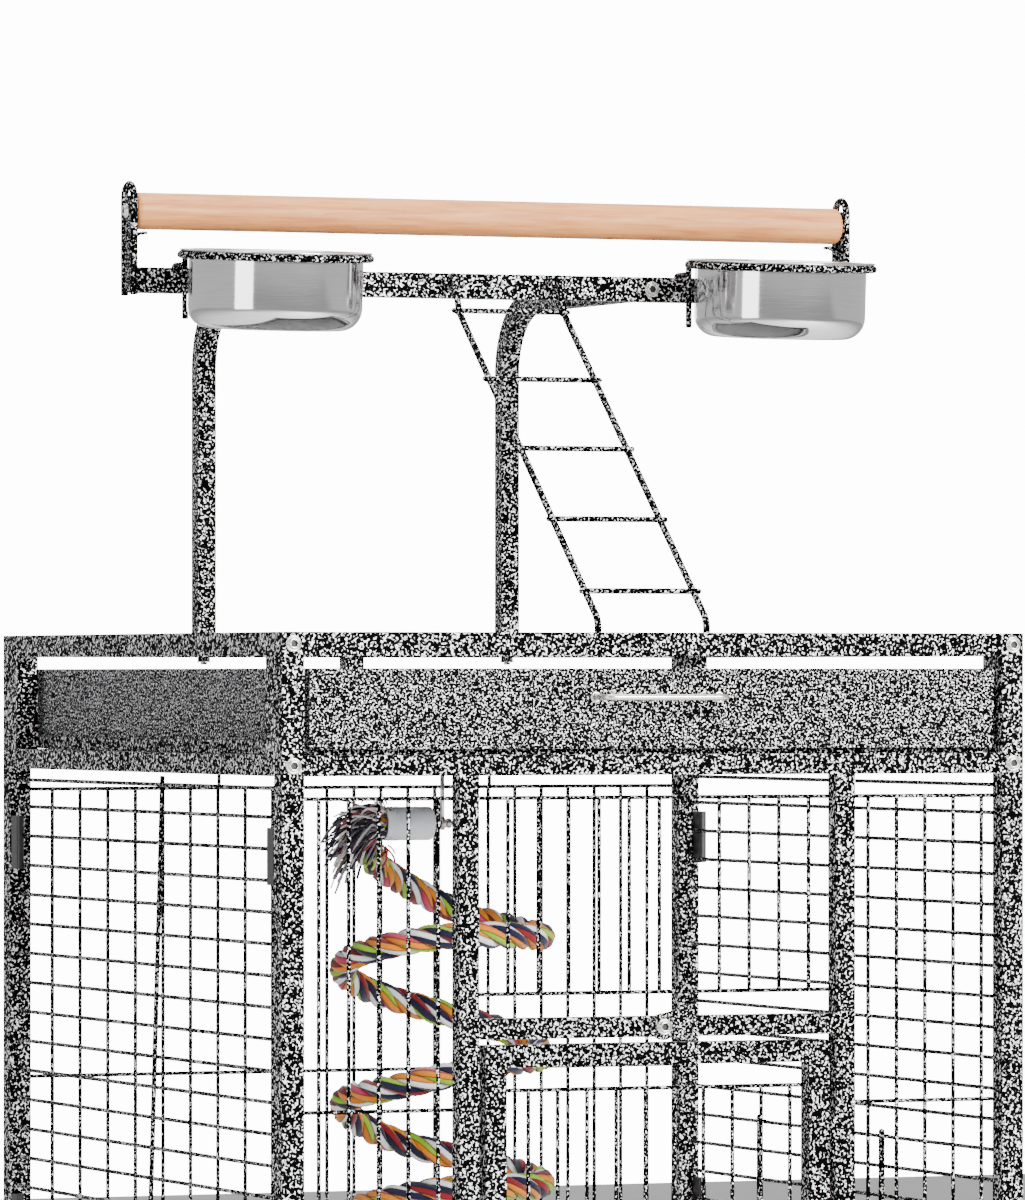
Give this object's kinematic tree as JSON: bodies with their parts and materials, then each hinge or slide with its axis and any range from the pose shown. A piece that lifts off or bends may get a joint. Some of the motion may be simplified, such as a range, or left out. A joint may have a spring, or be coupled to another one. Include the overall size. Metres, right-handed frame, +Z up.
{
  "type": "bird cage on a rolling stand",
  "caption": "Play-top bird cage on a rolling stand, with wire walls, sliding trays, a front door, a roof perch with steel cups, a ladder and a rope perch.",
  "frame": {"origin": "on the floor, under the middle of the object's bounding box", "axes": "+Z up; -Y to the front, where the door is; +X to the right as seen from the front"},
  "size_m": [0.637, 0.6831, 1.737],
  "materials": {
    "painted_frame": "silver-vein hammertone powder coat over black",
    "nickel": "nickel plated, bright",
    "stainless": "polished stainless steel",
    "beech": "plain sanded beech",
    "black_plastic": "smooth black plastic",
    "white_plastic": "translucent white plastic",
    "tyre": "black rubber-like tread",
    "rope": "twisted cotton strands in several colours"
  },
  "bodies": {
    "cage": {"front_frame": "painted_frame", "front_grilles": "painted_frame", "back_frame": "painted_frame", "back_grille": "painted_frame", "left_side_frame": "painted_frame", "left_side_bars": "painted_frame", "right_side_frame": "painted_frame", "right_side_bars": "painted_frame", "roof_grille": "painted_frame", "tray_runners": "painted_frame", "storage_shelf": "painted_frame", "frame_screws": "nickel", "panel_clips": "black_plastic", "door_post_hinges": "painted_frame", "playtop_tube_left": "painted_frame", "playtop_tube_right": "painted_frame", "playtop_crossbar": "painted_frame", "perch_brackets": "painted_frame", "wood_perch": "beech", "playtop_bolts": "nickel", "ladder_supports": "painted_frame", "inner_perches": "beech", "side_door_guides": "painted_frame", "feeder_rings": "painted_frame", "caster_plates": "nickel"},
    "top_tray": {"top_tray": "painted_frame", "top_tray_handle": "nickel"},
    "bottom_grate": {"bottom_grate": "painted_frame"},
    "bottom_tray": {"bottom_tray": "painted_frame", "bottom_tray_handle": "nickel"},
    "door": {"door_frame": "painted_frame", "door_grille": "painted_frame", "door_leaf_hinges": "painted_frame"},
    "latch": {"door_latch": "painted_frame"},
    "ladder": {"ladder": "painted_frame"},
    "holder_left": {"cup_holder_left": "painted_frame"},
    "holder_right": {"cup_holder_right": "painted_frame"},
    "cup_left": {"cup_left": "stainless"},
    "cup_right": {"cup_right": "stainless"},
    "rope_hook": {"rope_hook": "nickel"},
    "rope": {"rope_top_cap": "white_plastic", "rope_lead": "rope", "rope_coil": "rope", "rope_end_cap": "white_plastic"},
    "nest_door": {"nest_door": "painted_frame"},
    "feeder_door_front": {"feeder_door_front": "painted_frame"},
    "feeder_door_back": {"feeder_door_back": "painted_frame"},
    "feeder_cup_front": {"feeder_cup_front": "stainless"},
    "feeder_cup_back": {"feeder_cup_back": "stainless"},
    "fork_fl": {"caster_fork_fl": "nickel"},
    "wheel_fl": {"caster_wheel_fl": "tyre"},
    "pedal_fl": {"brake_pedal_fl": "black_plastic"},
    "fork_fr": {"caster_fork_fr": "nickel"},
    "wheel_fr": {"caster_wheel_fr": "tyre"},
    "pedal_fr": {"brake_pedal_fr": "black_plastic"},
    "fork_bl": {"caster_fork_bl": "nickel"},
    "wheel_bl": {"caster_wheel_bl": "tyre"},
    "fork_br": {"caster_fork_br": "nickel"},
    "wheel_br": {"caster_wheel_br": "tyre"}
  },
  "joints": [
    {"name": "top_tray_slide", "type": "slide", "parent": "cage", "child": "top_tray", "axis": [0, -1, 0], "range_m": [0, 0.5]},
    {"name": "grate_slide", "type": "slide", "parent": "cage", "child": "bottom_grate", "axis": [0, -1, 0], "range_m": [0, 0.44]},
    {"name": "bottom_tray_slide", "type": "slide", "parent": "cage", "child": "bottom_tray", "axis": [0, -1, 0], "range_m": [0, 0.56]},
    {"name": "door_hinge", "type": "hinge", "parent": "cage", "child": "door", "pos_m": [0.1482, -0.3255, 0.848], "axis": [0, 0, 1], "range_deg": [0, 110]},
    {"name": "latch_turn", "type": "hinge", "parent": "cage", "child": "latch", "pos_m": [0.002, -0.3236, 1.068], "axis": [0, -1, 0], "range_deg": [-100, 0]},
    {"name": "ladder_swing", "type": "hinge", "parent": "cage", "child": "ladder", "pos_m": [0.005, 0.007, 1.66], "axis": [-1, 0, 0], "range_deg": [0, 60]},
    {"name": "holder_left_slide", "type": "slide", "parent": "cage", "child": "holder_left", "axis": [1, 0, 0], "range_m": [-0.035, 0.02]},
    {"name": "cup_left_lift", "type": "slide", "parent": "holder_left", "child": "cup_left", "axis": [0, -0.0698, 0.9976], "range_m": [0, 0.014]},
    {"name": "holder_right_slide", "type": "slide", "parent": "cage", "child": "holder_right", "axis": [1, 0, 0], "range_m": [-0.02, 0.035]},
    {"name": "cup_right_lift", "type": "slide", "parent": "holder_right", "child": "cup_right", "axis": [0, -0.0698, 0.9976], "range_m": [0, 0.014]},
    {"name": "rope_hook_swing", "type": "hinge", "parent": "cage", "child": "rope_hook", "pos_m": [-0.0738, -0.0515, 1.2715], "axis": [0, 1, 0], "range_deg": [-12, 12]},
    {"name": "rope_swing", "type": "hinge", "parent": "rope_hook", "child": "rope", "pos_m": [-0.0738, -0.0515, 1.222], "axis": [1, 0, 0], "range_deg": [-12, 12]},
    {"name": "nest_door_slide", "type": "slide", "parent": "cage", "child": "nest_door", "axis": [0, 0, 1], "range_m": [0, 0.22]},
    {"name": "feeder_door_front_slide", "type": "slide", "parent": "cage", "child": "feeder_door_front", "axis": [0, 0, 1], "range_m": [0, 0.105]},
    {"name": "feeder_cup_front_lift", "type": "slide", "parent": "cage", "child": "feeder_cup_front", "axis": [0, 0, 1], "range_m": [0, 0.046]},
    {"name": "feeder_door_back_slide", "type": "slide", "parent": "cage", "child": "feeder_door_back", "axis": [0, 0, 1], "range_m": [0, 0.105]},
    {"name": "feeder_cup_back_lift", "type": "slide", "parent": "cage", "child": "feeder_cup_back", "axis": [0, 0, 1], "range_m": [0, 0.046]},
    {"name": "swivel_fl", "type": "hinge", "parent": "cage", "child": "fork_fl", "pos_m": [-0.293, -0.3015, 0.075], "axis": [0, 0, 1], "continuous": true},
    {"name": "wheel_fl_spin", "type": "hinge", "parent": "fork_fl", "child": "wheel_fl", "pos_m": [-0.293, -0.2815, 0.025], "axis": [1, 0, 0], "continuous": true},
    {"name": "brake_fl", "type": "hinge", "parent": "fork_fl", "child": "pedal_fl", "pos_m": [-0.293, -0.2695, 0.057], "axis": [-1, 0, 0], "range_deg": [0, 12]},
    {"name": "swivel_fr", "type": "hinge", "parent": "cage", "child": "fork_fr", "pos_m": [0.293, -0.3015, 0.075], "axis": [0, 0, 1], "continuous": true},
    {"name": "wheel_fr_spin", "type": "hinge", "parent": "fork_fr", "child": "wheel_fr", "pos_m": [0.293, -0.2815, 0.025], "axis": [1, 0, 0], "continuous": true},
    {"name": "brake_fr", "type": "hinge", "parent": "fork_fr", "child": "pedal_fr", "pos_m": [0.293, -0.2695, 0.057], "axis": [-1, 0, 0], "range_deg": [0, 12]},
    {"name": "swivel_bl", "type": "hinge", "parent": "cage", "child": "fork_bl", "pos_m": [-0.293, 0.3185, 0.075], "axis": [0, 0, 1], "continuous": true},
    {"name": "wheel_bl_spin", "type": "hinge", "parent": "fork_bl", "child": "wheel_bl", "pos_m": [-0.293, 0.2985, 0.025], "axis": [1, 0, 0], "continuous": true},
    {"name": "swivel_br", "type": "hinge", "parent": "cage", "child": "fork_br", "pos_m": [0.293, 0.3185, 0.075], "axis": [0, 0, 1], "continuous": true},
    {"name": "wheel_br_spin", "type": "hinge", "parent": "fork_br", "child": "wheel_br", "pos_m": [0.293, 0.2985, 0.025], "axis": [1, 0, 0], "continuous": true}
  ]
}
